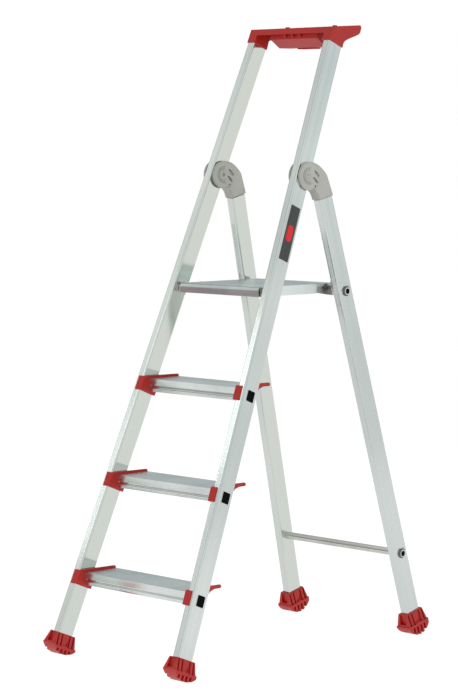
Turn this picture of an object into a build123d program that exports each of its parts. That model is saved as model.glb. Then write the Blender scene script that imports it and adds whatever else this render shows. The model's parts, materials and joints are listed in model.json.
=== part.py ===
"""Free-standing aluminium step ladder: three treads, a platform and a tool tray.

Frame: +X to the right of a person climbing, +Y from the climbing side to the back,
+Z up. Origin on the ground, under the middle of the ladder's box. Millimetres.

Front frame places are given as "along" (up the stile, from the ground) and
"behind" (square to the stile, from its front face). The rear frame has the same
pair of measures for its legs.
"""
from build123d import *
from math import cos, hypot, radians, sin
import os

os.makedirs("parts", exist_ok=True)

# ---------------------------------------------------------------- driving sizes
HINGE_Y = 69.4            # hinge pin, from the middle of the ladder's box
HINGE_ALONG = 1288.0      # hinge pin up the front stile
HINGE_BEHIND = 36.3       # hinge pin behind the stile's front face
HINGE_AHEAD = 25.8        # hinge pin in front of the rear leg's front face
FRONT_LEAN = 22.2         # degrees from upright
REAR_LEAN = 14.2
TAPER = 0.0527            # each stile and leg closes in, mm per mm of length

STILE_W, STILE_D, STILE_WALL = 22.5, 48.0, 1.6
LEG_W, LEG_D, LEG_WALL = 24.0, 46.0, 1.6
FRONT_HALF = 229.9        # half the width over the front stiles, at the ground
REAR_HALF = 226.8
STILE_BOTTOM, STILE_TOP = 30.0, 1651.0
LEG_BOTTOM, LEG_TOP = 22.0, 1154.5

STEP_PITCH = 253.9        # along the stile: 235 mm of height
STEP_COUNT = 3
STEP_EDGE_ALONG, STEP_EDGE_BEHIND = 222.3, 10.0   # top front edge of the lowest tread
TREAD_DEPTH = 103.0
RUNG_ALONG, RUNG_BEHIND = 207.6, 25.6             # box rung end of the lowest tread
RUNG_W, RUNG_H, RUNG_CORNER = 26.8, 29.4, 4.0
CAP_INSET = 6.35          # thickness of the plastic cap at each tread end

PLATFORM_TOP = 909.5
PLATFORM_FRONT, PLATFORM_REAR = -147.0, 130.0     # from the hinge
PLATFORM_HALF = 138.5
AXLE_Y, AXLE_Z = 123.0, 891.0                     # platform axle, from the hinge
BRACE_ALONG, BRACE_BEHIND = 214.7, 23.4
TUBE_R, TUBE_BORE = 9.5, 7.2
FERRULE_R, FERRULE_OUT, FERRULE_BACK = 12.5, 6.0, 3.0   # radius, length, from the tube's end

CHEEK_R = 35.0            # hinge disc
CHEEK_GAP = 2.8           # stile side face to hinge cheek
CHEEK_T = 4.6
RUN_GAP = 0.3             # between faces that move past each other
PIN_R, BUSH_R, PIN_PLAY = 4.0, 7.0, 0.05

SIN_F, COS_F = sin(radians(FRONT_LEAN)), cos(radians(FRONT_LEAN))
SIN_R, COS_R = sin(radians(REAR_LEAN)), cos(radians(REAR_LEAN))
HINGE_Z = HINGE_ALONG * COS_F - HINGE_BEHIND * SIN_F
FRONT_Y0 = HINGE_Y - HINGE_ALONG * SIN_F - HINGE_BEHIND * COS_F
LEG_HINGE_ALONG = (HINGE_Z + HINGE_AHEAD * SIN_R) / COS_R
REAR_Y0 = HINGE_Y + LEG_HINGE_ALONG * SIN_R + HINGE_AHEAD * COS_R

# ---------------------------------------------------------------- planes
# Side planes look along X. Sketch x is "behind", sketch y is "along".
WORLD_SIDE = Plane(origin=(0, HINGE_Y, 0), x_dir=(0, 1, 0), z_dir=(1, 0, 0))
HINGE_SIDE = Plane(origin=(0, HINGE_Y, HINGE_Z), x_dir=(0, 1, 0), z_dir=(1, 0, 0))
FRONT_SIDE = Plane(origin=(0, FRONT_Y0, 0), x_dir=(0, COS_F, -SIN_F), z_dir=(1, 0, 0))
REAR_SIDE = Plane(origin=(0, REAR_Y0, 0), x_dir=(0, COS_R, SIN_R), z_dir=(1, 0, 0))
# Section planes of the right-hand stile and leg: sketch x outward, sketch y "behind".
STILE_SECTION = Plane(
    origin=(FRONT_HALF - STILE_W / 2, FRONT_Y0, 0),
    x_dir=(1, TAPER * SIN_F, TAPER * COS_F), z_dir=(-TAPER, SIN_F, COS_F))
LEG_SECTION = Plane(
    origin=(REAR_HALF - LEG_W / 2, REAR_Y0, 0),
    x_dir=(1, -TAPER * SIN_R, TAPER * COS_R), z_dir=(-TAPER, -SIN_R, COS_R))
FAR = 300.0               # past anything the ladder has on that side


def stile_face(side, inset):
    """Plane along a stile's inner face, moved in by inset; its normal points out."""
    inward = (STILE_W / 2 + inset) * hypot(1, TAPER)
    return Plane(
        origin=(side * (FRONT_HALF - STILE_W / 2 - inward), FRONT_Y0, 0),
        x_dir=(0, COS_F, -SIN_F), z_dir=(side, TAPER * SIN_F, TAPER * COS_F))


def leg_face(side, inset):
    """The same for a rear leg's inner face."""
    inward = (LEG_W / 2 + inset) * hypot(1, TAPER)
    return Plane(
        origin=(side * (REAR_HALF - LEG_W / 2 - inward), REAR_Y0, 0),
        x_dir=(0, COS_R, SIN_R), z_dir=(side, -TAPER * SIN_R, TAPER * COS_R))


def step_side(step):
    """FRONT_SIDE moved up the stile to a step; step 0 is the lowest."""
    rise = step * STEP_PITCH
    return Plane(
        origin=(0, FRONT_Y0 + rise * SIN_F, rise * COS_F),
        x_dir=(0, COS_F, -SIN_F), z_dir=(1, 0, 0))


def from_edge(forward, up):
    """(behind, along) of a point given from the lowest tread's top front edge."""
    return (STEP_EDGE_BEHIND + forward * COS_F - up * SIN_F,
            STEP_EDGE_ALONG + forward * SIN_F + up * COS_F)


# ---------------------------------------------------------------- stiles and legs
RIB_PITCH = 2.0
RIB_SIZE = 0.75           # side of the square whose corner cuts each fine groove
CORNER_R = 4.0
WIDE_RIBS = [s * (7.0 + RIB_PITCH * i) for s in (-1, 1) for i in range(6)]
NARROW_RIBS = [RIB_PITCH * (i - 2.5) for i in range(6)]


def tube_section(width, depth, wall):
    """Rounded box tube with fine grooves on its outer, front and rear faces."""
    with Locations((0, depth / 2)):
        RectangleRounded(width, depth, CORNER_R)
        RectangleRounded(width - 2 * wall, depth - 2 * wall, CORNER_R - wall, mode=Mode.SUBTRACT)
    with Locations(*[(width / 2, depth / 2 + y) for y in WIDE_RIBS]):
        Rectangle(RIB_SIZE, RIB_SIZE, rotation=45, mode=Mode.SUBTRACT)
    with Locations(*[(x, y) for x in NARROW_RIBS for y in (0, depth)]):
        Rectangle(RIB_SIZE, RIB_SIZE, rotation=45, mode=Mode.SUBTRACT)


# Solid bars of the tubes' outer size, to cut their places in sockets and plastics.
with BuildPart() as stile_bar:
    with BuildSketch(STILE_SECTION.offset(STILE_BOTTOM)):
        with Locations((0, STILE_D / 2)):
            RectangleRounded(STILE_W, STILE_D, CORNER_R)
    extrude(amount=STILE_TOP - STILE_BOTTOM)

with BuildPart() as leg_bar:
    with BuildSketch(LEG_SECTION.offset(LEG_BOTTOM)):
        with Locations((0, LEG_D / 2)):
            RectangleRounded(LEG_W, LEG_D, CORNER_R)
    extrude(amount=LEG_TOP - LEG_BOTTOM)

with BuildPart() as front_stile_right:
    with BuildSketch(STILE_SECTION.offset(STILE_BOTTOM)):
        tube_section(STILE_W, STILE_D, STILE_WALL)
    extrude(amount=STILE_TOP - STILE_BOTTOM)
    with BuildSketch(FRONT_SIDE):
        with Locations(*[(RUNG_BEHIND, RUNG_ALONG + i * STEP_PITCH) for i in range(STEP_COUNT)]):
            RectangleRounded(RUNG_W, RUNG_H, RUNG_CORNER)
    extrude(amount=FAR, mode=Mode.SUBTRACT)
    with BuildSketch(HINGE_SIDE):
        Circle(BUSH_R)
    extrude(amount=FAR, mode=Mode.SUBTRACT)

with BuildPart() as front_stile_left:
    mirror(front_stile_right.part, about=Plane.YZ)

with BuildPart() as rear_leg_right:
    with BuildSketch(LEG_SECTION.offset(LEG_BOTTOM)):
        tube_section(LEG_W, LEG_D, LEG_WALL)
    extrude(amount=LEG_TOP - LEG_BOTTOM)
    with BuildSketch(WORLD_SIDE):
        with Locations((AXLE_Y, AXLE_Z)):
            Circle(TUBE_R)
    extrude(amount=FAR, mode=Mode.SUBTRACT)
    with BuildSketch(REAR_SIDE):
        with Locations((BRACE_BEHIND, BRACE_ALONG)):
            Circle(TUBE_R)
    extrude(amount=FAR, mode=Mode.SUBTRACT)

with BuildPart() as rear_leg_left:
    mirror(rear_leg_right.part, about=Plane.YZ)

for part, name in (
        (front_stile_right, "front_stile_right"), (front_stile_left, "front_stile_left"),
        (rear_leg_right, "rear_leg_right"), (rear_leg_left, "rear_leg_left")):
    part.part.label = name
    export_step(part.part, f"parts/{name}.step")

# ---------------------------------------------------------------- treads
TREAD_T = 2.2
TREAD_SHELL = [(0, 0), (7.1, -17), (10.5, -17.4), (10.5, -20)]
BEAD_ROOT, BEAD_OUT, BEAD_TOP, BEAD_LOW = 10.5, 7.6, -20.0, -30.0
BOX_FRONT, BOX_REAR, BOX_LOW, BOX_WALL = 12.0, 44.0, -33.5, 2.0
# Inside of the tread, from the deck down behind the nose to the box.
TREAD_HOLLOW = [(3.5, -TREAD_T), (9.5, -15.5), (12.7, -16), (12.7, -30.5), (14, BOX_LOW + BOX_WALL)]
TREAD_RIB = (68.0, -12.0)  # stiffening rib under the back of the tread
GRIP_PITCH = 4.5
GRIP_COUNT = 21
RUNG_WALL = 1.0
RUNG_PROUD = 0.8          # swaged rim outside the stile
GRIP_START, GRIP_CUT = 8.0, 0.9
CAP_SKIN = 2.0            # the cap closes the rung's end wherever the tread does not
SKIN_LINE = [(0.5, 3), (8, -17), (11, -20), (12.5, -33), (70, -33), (70, -70), (-70, -70), (-70, 3)]
rung_bars = []
STEP_NAMES = ("lower", "middle", "upper")

for i, step in enumerate(STEP_NAMES):
    edge_behind, edge_along = from_edge(0, 0)
    edge_along += i * STEP_PITCH
    edge_side = Plane(
        origin=(0, FRONT_Y0 + edge_along * SIN_F + edge_behind * COS_F,
                edge_along * COS_F - edge_behind * SIN_F),
        x_dir=(0, 1, 0), z_dir=(1, 0, 0))

    # Right-hand rung end: a solid bar first, then hollow up to the web at its root.
    with BuildPart() as cap_skin:
        with BuildSketch(edge_side):
            with BuildLine():
                Polyline(*SKIN_LINE, close=True)
            make_face()
        extrude(amount=FAR)
        split(bisect_by=stile_face(1, CAP_INSET - CAP_SKIN), keep=Keep.BOTTOM)
    with BuildPart() as rung_bar:
        with BuildSketch(step_side(i)):
            with Locations((RUNG_BEHIND, RUNG_ALONG)):
                RectangleRounded(RUNG_W, RUNG_H, RUNG_CORNER)
        extrude(amount=FAR)
        split(bisect_by=stile_face(1, CAP_INSET), keep=Keep.TOP)
        split(bisect_by=stile_face(1, -STILE_W - RUNG_PROUD), keep=Keep.BOTTOM)
        add(cap_skin.part, mode=Mode.SUBTRACT)
    rung_bars.append(rung_bar.part)
    with BuildPart() as rung_bore:
        with BuildSketch(step_side(i)):
            with Locations((RUNG_BEHIND, RUNG_ALONG)):
                RectangleRounded(RUNG_W - 2 * RUNG_WALL, RUNG_H - 2 * RUNG_WALL, RUNG_CORNER - RUNG_WALL)
        extrude(amount=FAR)
        split(bisect_by=stile_face(1, CAP_INSET - CAP_SKIN), keep=Keep.TOP)
    with BuildPart() as rung_end:
        add(rung_bar.part)
        add(rung_bore.part, mode=Mode.SUBTRACT)

    with BuildPart() as tread:
        with BuildSketch(edge_side):
            with BuildLine():
                Polyline(*TREAD_SHELL)
                bead_middle = (BEAD_OUT, (BEAD_TOP + BEAD_LOW) / 2)
                ThreePointArc((BEAD_ROOT, BEAD_TOP), bead_middle, (BEAD_ROOT, BEAD_LOW))
                rib, rib_low = TREAD_RIB
                Polyline((BEAD_ROOT, BEAD_LOW), (BOX_FRONT, BOX_LOW), (BOX_REAR, BOX_LOW),
                         (BOX_REAR, -TREAD_T), (rib, -TREAD_T), (rib, rib_low),
                         (rib + TREAD_T, rib_low), (rib + TREAD_T, -TREAD_T),
                         (TREAD_DEPTH, -TREAD_T), (TREAD_DEPTH, 0), (0, 0))
            make_face()
            with BuildLine():
                Polyline(*TREAD_HOLLOW, (BOX_REAR - BOX_WALL, BOX_LOW + BOX_WALL),
                         (BOX_REAR - BOX_WALL, -TREAD_T), TREAD_HOLLOW[0])
            make_face(mode=Mode.SUBTRACT)
            with Locations(*[(GRIP_START + GRIP_PITCH * n, 0) for n in range(GRIP_COUNT)]):
                Rectangle(GRIP_CUT, GRIP_CUT, rotation=45, mode=Mode.SUBTRACT)
        extrude(amount=FAR, both=True)
        split(bisect_by=stile_face(1, CAP_INSET), keep=Keep.BOTTOM)
        split(bisect_by=stile_face(-1, CAP_INSET), keep=Keep.BOTTOM)
        add(rung_end.part)
        mirror(rung_end.part, about=Plane.YZ)
    tread.part.label = f"tread_{step}"
    export_step(tread.part, f"parts/tread_{step}.step")

# Black plastic plugs inside the rung ends, a little below the rim.
RUNG_PLUG_DEEP, RUNG_PLUG_LOW = 8.5, 0.3
plug_top = RUNG_PROUD - RUNG_PLUG_LOW
with BuildPart() as rung_plugs:
    for i in range(STEP_COUNT):
        with BuildSketch(step_side(i)):
            with Locations((RUNG_BEHIND, RUNG_ALONG)):
                RectangleRounded(RUNG_W - 2 * RUNG_WALL, RUNG_H - 2 * RUNG_WALL, RUNG_CORNER - RUNG_WALL)
        extrude(amount=FAR)
    split(bisect_by=stile_face(1, RUNG_PLUG_DEEP - plug_top - STILE_W), keep=Keep.TOP)
    split(bisect_by=stile_face(1, -plug_top - STILE_W), keep=Keep.BOTTOM)
    mirror(about=Plane.YZ)
rung_plugs.part.label = "rung_plugs"
export_step(rung_plugs.part, "parts/rung_plugs.step")

# ---------------------------------------------------------------- tread caps
CAP_TAB = 2.6             # front tab thickness, on the stile's front face
CAP_TAB_W = 14.8          # how far the tab reaches over that face
CAP_LOW = 189.7           # bottom edge, along the stile
CAP_BACK = 50.0
CAP_RISE = 6.0            # ledge above the tread top
TAIL_END = 104.5          # tail, behind the tread's front edge
TAIL_H = 8.6
TAIL_INSET = 2.4          # keeps the tail clear of the folded rear leg

ledge_front = (-CAP_TAB, from_edge(-11.9, CAP_RISE)[1] + 1.4)
gusset_foot = (CAP_BACK, from_edge(47, -20)[1])
gusset_top = from_edge(81, CAP_RISE - TAIL_H)
tail_low = from_edge(TAIL_END - TAIL_H / 2, CAP_RISE - TAIL_H)
tail_tip = from_edge(TAIL_END, CAP_RISE - TAIL_H / 2)
tail_top = from_edge(TAIL_END - TAIL_H / 2, CAP_RISE)

for i, step in enumerate(STEP_NAMES):
    with BuildPart() as cap_right:
        with BuildSketch(step_side(i)):
            with BuildLine():
                Polyline(ledge_front, (-CAP_TAB, CAP_LOW), (CAP_BACK, CAP_LOW),
                         gusset_foot, gusset_top, tail_low)
                ThreePointArc(tail_low, tail_tip, tail_top)
                Line(tail_top, ledge_front)
            make_face()
        extrude(amount=FAR)
        split(bisect_by=stile_face(1, CAP_INSET), keep=Keep.TOP)
        split(bisect_by=stile_face(1, -CAP_TAB_W), keep=Keep.BOTTOM)
        for inset, start in ((0, 0), (TAIL_INSET, CAP_BACK - 1)):
            with BuildSketch(stile_face(1, inset)):
                with Locations((start + FAR / 2, RUNG_ALONG + i * STEP_PITCH)):
                    Rectangle(FAR, FAR)
            extrude(amount=FAR, mode=Mode.SUBTRACT)
        add(rung_bars[i], mode=Mode.SUBTRACT)
    cap_right.part.label = f"tread_cap_{step}_right"
    export_step(cap_right.part, f"parts/tread_cap_{step}_right.step")
    with BuildPart() as cap_left:
        mirror(cap_right.part, about=Plane.YZ)
    cap_left.part.label = f"tread_cap_{step}_left"
    export_step(cap_left.part, f"parts/tread_cap_{step}_left.step")

# ---------------------------------------------------------------- feet
FOOT_WALL_X, FOOT_WALL_Y = 3.5, 5.3    # plastic over the tube, at the foot's top
FOOT_FLARE = 7.0                       # how much wider each side is at the rim
RIM_LIP = 2.0
SLOT_W = 4.5
SLOT_OFFSETS = (-25.5, -12.8, 12.8, 25.5)
SOLE_SLOT_PITCH, SOLE_SLOT_W, SOLE_SLOT_DEEP = 13.0, 6.5, 6.0
SLOT_DEEP, PANEL_DEEP, PANEL_W = 1.1, 1.5, 17.0   # slots stop short of the tube
RIVET_R = 2.4
SOLE_SLOT_TOP, RECESS_LOW, END_RECESS = 8.0, 4.0, 2.0
NOTCH_TOP, NOTCH_DEEP = 12.0, 8.0
RIM_EDGE, PANEL_LOW, SLOT_LOW, SLOT_TOP = 1.0, 2.0, 1.5, 2.0
RECESS_MARGIN, FOOT_NOTCH_MARGIN = 4.0, 6.0       # tube width left beside each
RIVET_START, RIVET_PROUD, RIVET_DOWN = 0.2, 0.8, 10.0
CUT = 20.0                # size of the boxes that cut these, past the surface


def build_foot(section, depth, width, bar, top, rim, sole_y, sole_z, sole_r):
    """Flared plastic foot round a tube end, with a rocker sole curved about X.

    section is the tube's section plane at the ground, top and rim are heights
    along the tube, and the sole is a cylinder with its axis at sole_y, sole_z.
    """
    rim_w = width + 2 * (FOOT_WALL_X + FOOT_FLARE)
    rim_d = depth + 2 * (FOOT_WALL_Y + FOOT_FLARE + RIM_LIP)
    middle = (0, depth / 2)
    with BuildPart() as foot:
        with BuildSketch(Plane(origin=(FAR / 2, sole_y, sole_z), x_dir=(0, 1, 0), z_dir=(1, 0, 0))):
            Circle(sole_r)
        extrude(amount=FAR)
        with BuildSketch(section.offset(rim)):
            with Locations(middle):
                Rectangle(rim_w, rim_d)
        extrude(amount=-2 * sole_r, mode=Mode.INTERSECT)
        with BuildSketch(section.offset(rim - RIM_EDGE)):
            with Locations(middle):
                Rectangle(rim_w - 2 * RIM_LIP, rim_d - 2 * RIM_LIP)
        with BuildSketch(section.offset(top)):
            with Locations(middle):
                Rectangle(width + 2 * FOOT_WALL_X, depth + 2 * FOOT_WALL_Y)
        loft()
        slot_low, slot_top = rim - SLOT_LOW, top - SLOT_TOP
        for side in (-1, 1):
            # Upright slots and a shallow panel between them, cut square to the tube.
            with BuildSketch(section.offset(slot_low)):
                slot_x = side * (width / 2 + SLOT_DEEP + CUT / 2)
                with Locations(*[(slot_x, depth / 2 + y) for y in SLOT_OFFSETS]):
                    Rectangle(CUT, SLOT_W)
            extrude(amount=slot_top - slot_low, mode=Mode.SUBTRACT)
            with BuildSketch(section.offset(rim + PANEL_LOW)):
                with Locations((side * (width / 2 + FOOT_WALL_X + PANEL_DEEP + CUT / 2), depth / 2)):
                    Rectangle(CUT, PANEL_W)
            extrude(amount=slot_top - rim - PANEL_LOW, mode=Mode.SUBTRACT)
            # Tread slots up each side of the sole.
            with BuildSketch(section.offset(rim - SOLE_SLOT_TOP)):
                slot_x = side * (rim_w / 2 - SOLE_SLOT_DEEP + CUT / 2)
                with Locations(*[(slot_x, depth / 2 + SOLE_SLOT_PITCH * (n - 1.5)) for n in range(4)]):
                    Rectangle(CUT, SOLE_SLOT_W)
            extrude(amount=-2 * sole_r, mode=Mode.SUBTRACT)
        # Recess in each narrow side, and a notch in each end of the sole.
        for end in (-1, 1):
            with BuildSketch(section.offset(rim + RECESS_LOW)):
                with Locations((0, depth / 2 + end * (depth / 2 + FOOT_WALL_Y - END_RECESS + CUT / 2))):
                    Rectangle(width - RECESS_MARGIN, CUT)
            extrude(amount=slot_top - rim - RECESS_LOW, mode=Mode.SUBTRACT)
            with BuildSketch(section.offset(rim - NOTCH_TOP)):
                with Locations((0, depth / 2 + end * (rim_d / 2 - NOTCH_DEEP + CUT / 2))):
                    Rectangle(width - FOOT_NOTCH_MARGIN, CUT)
            extrude(amount=-2 * sole_r, mode=Mode.SUBTRACT)
        add(bar, mode=Mode.SUBTRACT)
    return foot


def build_rivets(section, depth, width, height):
    """Blind rivet heads on both broad sides of a foot."""
    with BuildPart() as rivets:
        face = width / 2 + RIVET_START
        with BuildSketch(Plane(
                origin=section.offset(height).from_local_coords(Vector(face, depth / 2, 0)),
                x_dir=section.y_dir, z_dir=section.x_dir)):
            Circle(RIVET_R)
        extrude(amount=FOOT_WALL_X + RIVET_PROUD - RIVET_START)
        with BuildSketch(Plane(
                origin=section.offset(height).from_local_coords(Vector(-face, depth / 2, 0)),
                x_dir=section.y_dir, z_dir=-section.x_dir)):
            Circle(RIVET_R)
        extrude(amount=FOOT_WALL_X + RIVET_PROUD - RIVET_START)
        mirror(about=Plane.YZ)
    return rivets


FRONT_FOOT_TOP, FRONT_FOOT_RIM = 66.0, 36.0
REAR_FOOT_TOP, REAR_FOOT_RIM = 56.0, 25.0
FRONT_SOLE_R, REAR_SOLE_R = 50.0, 43.0
front_foot = build_foot(STILE_SECTION, STILE_D, STILE_W, stile_bar.part, FRONT_FOOT_TOP, FRONT_FOOT_RIM,
                        FRONT_Y0 + 50.5, FRONT_SOLE_R, FRONT_SOLE_R)
rear_foot = build_foot(LEG_SECTION, LEG_D, LEG_W, leg_bar.part, REAR_FOOT_TOP, REAR_FOOT_RIM,
                       REAR_Y0 + 14.7, REAR_SOLE_R, REAR_SOLE_R)
front_rivets = build_rivets(STILE_SECTION, STILE_D, STILE_W, FRONT_FOOT_TOP - RIVET_DOWN)
rear_rivets = build_rivets(LEG_SECTION, LEG_D, LEG_W, REAR_FOOT_TOP - RIVET_DOWN)

for end, foot, rivets in (("front", front_foot, front_rivets), ("rear", rear_foot, rear_rivets)):
    with BuildPart() as foot_right:
        add(foot.part)
        add(rivets.part, mode=Mode.SUBTRACT)
    foot_right.part.label = f"foot_{end}_right"
    export_step(foot_right.part, f"parts/foot_{end}_right.step")
    with BuildPart() as foot_left:
        mirror(foot_right.part, about=Plane.YZ)
    foot_left.part.label = f"foot_{end}_left"
    export_step(foot_left.part, f"parts/foot_{end}_left.step")
    rivets.part.label = f"foot_rivets_{end}"
    export_step(rivets.part, f"parts/foot_rivets_{end}.step")

# ---------------------------------------------------------------- label
LABEL_W, LABEL_L, LABEL_T = 33.0, 140.0, 0.4
LABEL_AT = (24.0, 1134.5)
BADGE_W, BADGE_L, BADGE_RIM = 20.0, 42.0, 1.0
label_face = stile_face(1, -STILE_W)

with BuildPart() as label_plate:
    with BuildSketch(label_face):
        with Locations(LABEL_AT):
            RectangleRounded(LABEL_W, LABEL_L, 2.0)
            SlotOverall(BADGE_L, BADGE_W, rotation=90, mode=Mode.SUBTRACT)
    extrude(amount=LABEL_T)
label_plate.part.label = "label_plate"
export_step(label_plate.part, "parts/label_plate.step")

with BuildPart() as label_badge:
    with BuildSketch(label_face):
        with Locations(LABEL_AT):
            SlotOverall(BADGE_L, BADGE_W, rotation=90)
    extrude(amount=LABEL_T)
    with BuildSketch(label_face.offset(LABEL_T)):
        with Locations(LABEL_AT):
            SlotOverall(BADGE_L - 2 * BADGE_RIM, BADGE_W - 2 * BADGE_RIM, rotation=90)
    extrude(amount=LABEL_T)
label_badge.part.label = "label_badge"
export_step(label_badge.part, "parts/label_badge.step")

# ---------------------------------------------------------------- hinges
HINGE_X = FRONT_HALF - STILE_W / 2 - TAPER * HINGE_ALONG
CHEEK_IN = STILE_W / 2 + CHEEK_GAP        # inner face of a cheek, from HINGE_X
CHEEK_OUT = CHEEK_IN + CHEEK_T
WASHER_R = 33.0
SHOULDER_R = 36.0         # where a cheek starts to slope into the fork's body
SHOULDER_SLOPE = 35.0
SPIGOT_L, SPIGOT_FIT = 60.0, 0.15
BODY_PROUD = 1.2          # fork body outside the leg's faces
RELIEF = 1.4              # depth of the lines on the cheeks
POCKET = 3.4
CHEEK_ROOT, SPIGOT_LAP, WASHER_LAP = 1.0, 2.0, 2.0    # overlaps that join shapes into one
MARK_OUT = 10.0           # how far the cutting shapes reach outward
ARC_FROM, ARC_SWEEP = 78, 210
PIN_SHORT = 2.9           # pin end below the inner cheek's face
HEAD_ROUND = 1.5
HEAD_R, HEAD_H = 5.6, 1.8
FORK_CROWN = (6.0, 34.5)
FORK_BACK = (72.0, -8.0)
FORK_NECK = ((17.5, -30.3), (31.0, -41.0), (39.5, -57.0))
# Room for the stile from open to folded, seen from the side.
FORK_ROOM = [(12.8, -0.9), (46.8, 82), (-100, 82), (-100, -88), (34.9, -88)]
RELIEF_ARCS = ((18.9, 20.3), (14.4, 15.6))
POCKETS = (
    [(19, 15), (27, 10.5), (35, 2.5), (39, -4), (30.5, -2), (23.5, 3), (20, 7.5)],
    [(14, -2.5), (21, -5), (28, -11), (32, -19), (24, -15.5), (17, -9.5)],
    [(19, -22.5), (24.5, -24.5), (24.5, -31), (20.5, -28.5)],
    [(25, 29.5), (31, 28), (36, 21.5), (30.5, 22)])


def leg_point(along, behind):
    """A rear-leg place as (y, z) from the hinge."""
    return (REAR_Y0 - along * SIN_R + behind * COS_R - HINGE_Y,
            along * COS_R + behind * SIN_R - HINGE_Z)


# Side shape of the hinge fork: a disc that runs down into the leg's top.
with BuildSketch(HINGE_SIDE) as fork_outline:
    with BuildLine():
        Line(FORK_NECK[0], FORK_CROWN)
        Spline(FORK_CROWN, (36, 28.0), (58, 12.5), FORK_BACK, tangents=((1, -0.1), (0.3, -1)))
        Polyline(FORK_BACK, leg_point(LEG_TOP, LEG_D + BODY_PROUD), leg_point(LEG_TOP, -BODY_PROUD),
                 FORK_NECK[2])
        ThreePointArc(FORK_NECK[2], FORK_NECK[1], FORK_NECK[0])
    make_face()
    Circle(CHEEK_R)

# Its body on the leg's top, as wide as the leg.
with BuildPart() as fork_body:
    extrude(fork_outline.sketch, amount=FAR)
    split(bisect_by=leg_face(1, BODY_PROUD), keep=Keep.TOP)
    split(bisect_by=leg_face(1, -LEG_W - BODY_PROUD), keep=Keep.BOTTOM)

with BuildPart() as hinge_clevis_right:
    # Cheeks: sloped discs cut to the fork's outline.
    for face, into in ((HINGE_X + CHEEK_OUT, -1), (HINGE_X - CHEEK_OUT, 1)):
        with BuildSketch(HINGE_SIDE.offset(face)):
            Circle(SHOULDER_R)
        extrude(amount=into * (CHEEK_OUT - CHEEK_ROOT), taper=-SHOULDER_SLOPE)
    extrude(fork_outline.sketch, amount=FAR, mode=Mode.INTERSECT)
    add(fork_body.part)
    with BuildSketch(LEG_SECTION.offset(LEG_TOP - SPIGOT_L)):
        with Locations((0, LEG_D / 2)):
            RectangleRounded(LEG_W - 2 * (LEG_WALL + SPIGOT_FIT), LEG_D - 2 * (LEG_WALL + SPIGOT_FIT),
                             CORNER_R - LEG_WALL)
    extrude(amount=SPIGOT_L + SPIGOT_LAP)

    with BuildSketch(HINGE_SIDE.offset(HINGE_X - CHEEK_IN)):
        with BuildLine():
            Polyline(*FORK_ROOM, close=True)
        make_face()
        Circle(WASHER_R + RUN_GAP)
    extrude(amount=2 * CHEEK_IN, mode=Mode.SUBTRACT)
    with BuildSketch(HINGE_SIDE):
        Circle(PIN_R)
    extrude(amount=FAR, mode=Mode.SUBTRACT)

    # Lines and pockets on the outer and inner cheek faces.
    for face, out in ((HINGE_X + CHEEK_OUT, 1), (HINGE_X - CHEEK_OUT, -1)):
        with BuildSketch(HINGE_SIDE.offset(face - out * RELIEF)):
            for inner, outer in RELIEF_ARCS:
                with BuildLine():
                    CenterArc((0, 0), outer, ARC_FROM, ARC_SWEEP)
                    CenterArc((0, 0), inner, ARC_FROM, ARC_SWEEP)
                    for turn in (ARC_FROM, ARC_FROM + ARC_SWEEP):
                        Line((inner * cos(radians(turn)), inner * sin(radians(turn))),
                             (outer * cos(radians(turn)), outer * sin(radians(turn))))
                make_face()
        extrude(amount=out * MARK_OUT, mode=Mode.SUBTRACT)
        with BuildSketch(HINGE_SIDE.offset(face - out * POCKET)):
            for corners in POCKETS:
                with BuildLine():
                    Polyline(*corners, close=True)
                make_face()
        extrude(amount=out * MARK_OUT, mode=Mode.SUBTRACT)

with BuildPart() as hinge_pin_right:
    with BuildSketch(HINGE_SIDE.offset(HINGE_X - CHEEK_OUT + PIN_SHORT)):
        Circle(PIN_R)
    extrude(amount=2 * CHEEK_OUT - PIN_SHORT)
    with BuildSketch(HINGE_SIDE.offset(HINGE_X + CHEEK_OUT)):
        Circle(HEAD_R)
    extrude(amount=HEAD_H)
    fillet(hinge_pin_right.edges().group_by(Axis.X)[-1], HEAD_ROUND)

# Bush and its two washers in one, fixed in the stile.
with BuildPart() as hinge_bush_right:
    for start in (HINGE_X + STILE_W / 2 - WASHER_LAP, HINGE_X - CHEEK_IN + RUN_GAP):
        with BuildSketch(HINGE_SIDE.offset(start)):
            Circle(WASHER_R)
        extrude(amount=CHEEK_GAP + WASHER_LAP - RUN_GAP)
    add(stile_bar.part, mode=Mode.SUBTRACT)
    with BuildSketch(HINGE_SIDE.offset(HINGE_X - CHEEK_IN + RUN_GAP)):
        Circle(BUSH_R)
    extrude(amount=2 * (CHEEK_IN - RUN_GAP))
    with BuildSketch(HINGE_SIDE):
        Circle(PIN_R + PIN_PLAY)
    extrude(amount=FAR, mode=Mode.SUBTRACT)

for name, right in (("hinge_clevis", hinge_clevis_right), ("hinge_pin", hinge_pin_right),
                    ("hinge_bush", hinge_bush_right)):
    right.part.label = f"{name}_right"
    export_step(right.part, f"parts/{name}_right.step")
    with BuildPart() as left:
        mirror(right.part, about=Plane.YZ)
    left.part.label = f"{name}_left"
    export_step(left.part, f"parts/{name}_left.step")

# ---------------------------------------------------------------- brace and axle
AXLE_END = 184.8
BRACE_END = 221.5
PLUG_DEEP, PLUG_LOW = 9.0, 0.8
FLUTE_COUNT, FLUTE = 20, 0.9
axle_centre = Plane(origin=(0, HINGE_Y + AXLE_Y, AXLE_Z), x_dir=(0, 1, 0), z_dir=(1, 0, 0))
brace_y, brace_z = leg_point(BRACE_ALONG, BRACE_BEHIND)
brace_centre = Plane(
    origin=(0, HINGE_Y + brace_y, HINGE_Z + brace_z), x_dir=(0, COS_R, SIN_R), z_dir=(1, 0, 0))

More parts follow.
